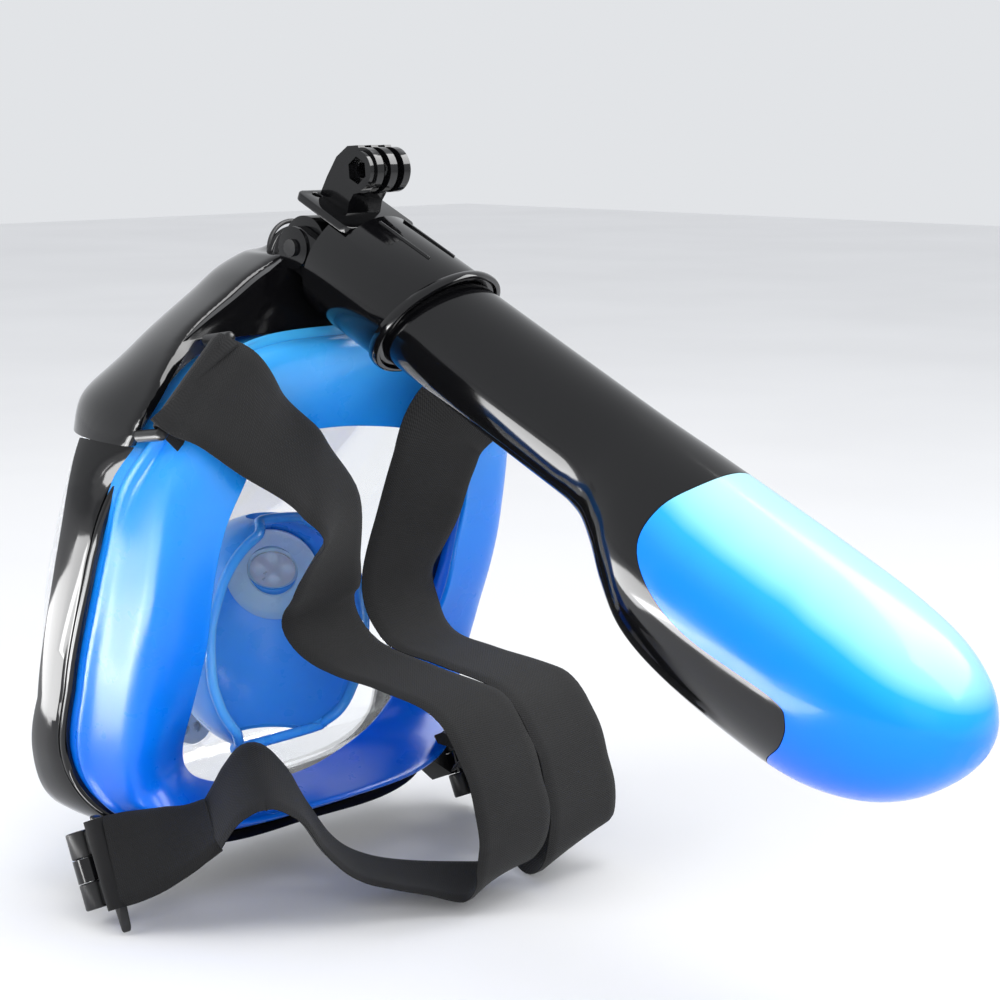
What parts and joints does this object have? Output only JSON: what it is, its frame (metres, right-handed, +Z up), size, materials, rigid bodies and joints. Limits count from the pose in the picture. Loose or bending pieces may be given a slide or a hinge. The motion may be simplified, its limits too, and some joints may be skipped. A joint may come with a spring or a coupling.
{
  "type": "snorkel mask",
  "caption": "Full-face snorkel mask with a clear domed lens, silicone skirt and nose cup, folding dry-top snorkel, camera bracket and elastic head harness on swivel clips.",
  "frame": {"origin": "centre of the overall box, on the floor plane under the mask", "axes": "+X to the wearer's left, +Y from the lens back towards the wearer and the folded snorkel's tip, +Z up"},
  "size_m": [0.1884, 0.3616, 0.2595],
  "materials": {
    "gloss_black": "moulded gloss black",
    "clear_lens": "clear polycarbonate",
    "azure_silicone": "translucent azure silicone, satin",
    "cup_silicone": "translucent azure silicone, satin",
    "azure_cap": "moulded gloss azure",
    "black_elastic": "woven elastic band",
    "black_webbing": "stitched woven band",
    "satin_black": "satin moulded black",
    "pin_steel": "plain steel",
    "seal_rubber": "black rubber",
    "valve_silicone": "frosted white silicone",
    "valve_frame": "light grey moulded plastic",
    "float_foam": "closed-cell foam"
  },
  "bodies": {
    "mask": {"lens": "clear_lens", "frame_ring": "gloss_black", "face_skirt": "azure_silicone", "skirt_clamp_ring": "satin_black", "brow_shell": "gloss_black", "neck_collar": "gloss_black", "nose_cup": "cup_silicone", "inhale_seat_left": "valve_frame", "inhale_seat_right": "valve_frame", "chin_drain_body": "valve_frame", "chin_drain_cover": "gloss_black", "strap_lug_left": "satin_black", "strap_lug_right": "satin_black", "strap_band_left": "black_elastic", "strap_band_right": "black_elastic", "clip_pin_left": "pin_steel", "clip_pin_right": "pin_steel"},
    "stem": {"hinge_stem": "gloss_black", "stem_seal": "seal_rubber", "hinge_pin_left": "satin_black", "hinge_pin_right": "satin_black"},
    "snorkel": {"snorkel_head": "gloss_black", "head_lip": "gloss_black", "snorkel_tube": "gloss_black", "drytop_cap": "azure_cap", "air_channel_divider": "valve_frame", "tube_seal": "seal_rubber", "valve_seat": "valve_frame", "valve_cage": "valve_frame", "intake_grille": "valve_frame", "float_pin": "pin_steel"},
    "float": {"float_arm": "valve_frame", "float_body": "float_foam", "valve_plug": "valve_silicone"},
    "bracket": {"camera_bracket": "gloss_black"},
    "clip_left": {"clip_left": "satin_black", "strap_sleeve_left": "black_webbing"},
    "clip_right": {"clip_right": "satin_black", "strap_sleeve_right": "black_webbing"},
    "inhale_left": {"inhale_flap_left": "valve_silicone"},
    "inhale_right": {"inhale_flap_right": "valve_silicone"},
    "drain": {"chin_drain_flap": "valve_silicone"}
  },
  "joints": [
    {"name": "stem_pull", "type": "slide", "parent": "mask", "child": "stem", "axis": [0, 0.9659, 0.2588], "range_m": [0, 0.022]},
    {"name": "snorkel_fold", "type": "hinge", "parent": "stem", "child": "snorkel", "pos_m": [0, -0.08197, 0.226], "axis": [1, 0, 0], "range_deg": [-6, 39.8]},
    {"name": "float_swing", "type": "hinge", "parent": "snorkel", "child": "float", "pos_m": [0, 0.07144, 0.15511], "axis": [1, 0, 0], "range_deg": [-14, 5]},
    {"name": "bracket_lift", "type": "slide", "parent": "snorkel", "child": "bracket", "axis": [0, 0.4195, 0.9078], "range_m": [0, 0.03]},
    {"name": "clip_turn_left", "type": "hinge", "parent": "mask", "child": "clip_left", "pos_m": [0.088, -0.11097, 0.01775], "axis": [0, -0.4099, 0.9121], "range_deg": [-35, 0]},
    {"name": "clip_turn_right", "type": "hinge", "parent": "mask", "child": "clip_right", "pos_m": [-0.088, -0.11097, 0.01775], "axis": [0, -0.4099, 0.9121], "range_deg": [0, 35]},
    {"name": "inhale_open_left", "type": "slide", "parent": "mask", "child": "inhale_left", "axis": [-0.6202, 0.6202, -0.4802], "range_m": [0, 0.0012], "stiffness_N_per_m": 40},
    {"name": "inhale_open_right", "type": "slide", "parent": "mask", "child": "inhale_right", "axis": [0.6202, 0.6202, -0.4802], "range_m": [0, 0.0012], "stiffness_N_per_m": 40},
    {"name": "drain_open", "type": "slide", "parent": "mask", "child": "drain", "axis": [0, -0.9659, -0.2588], "range_m": [0, 0.0012], "stiffness_N_per_m": 40}
  ]
}
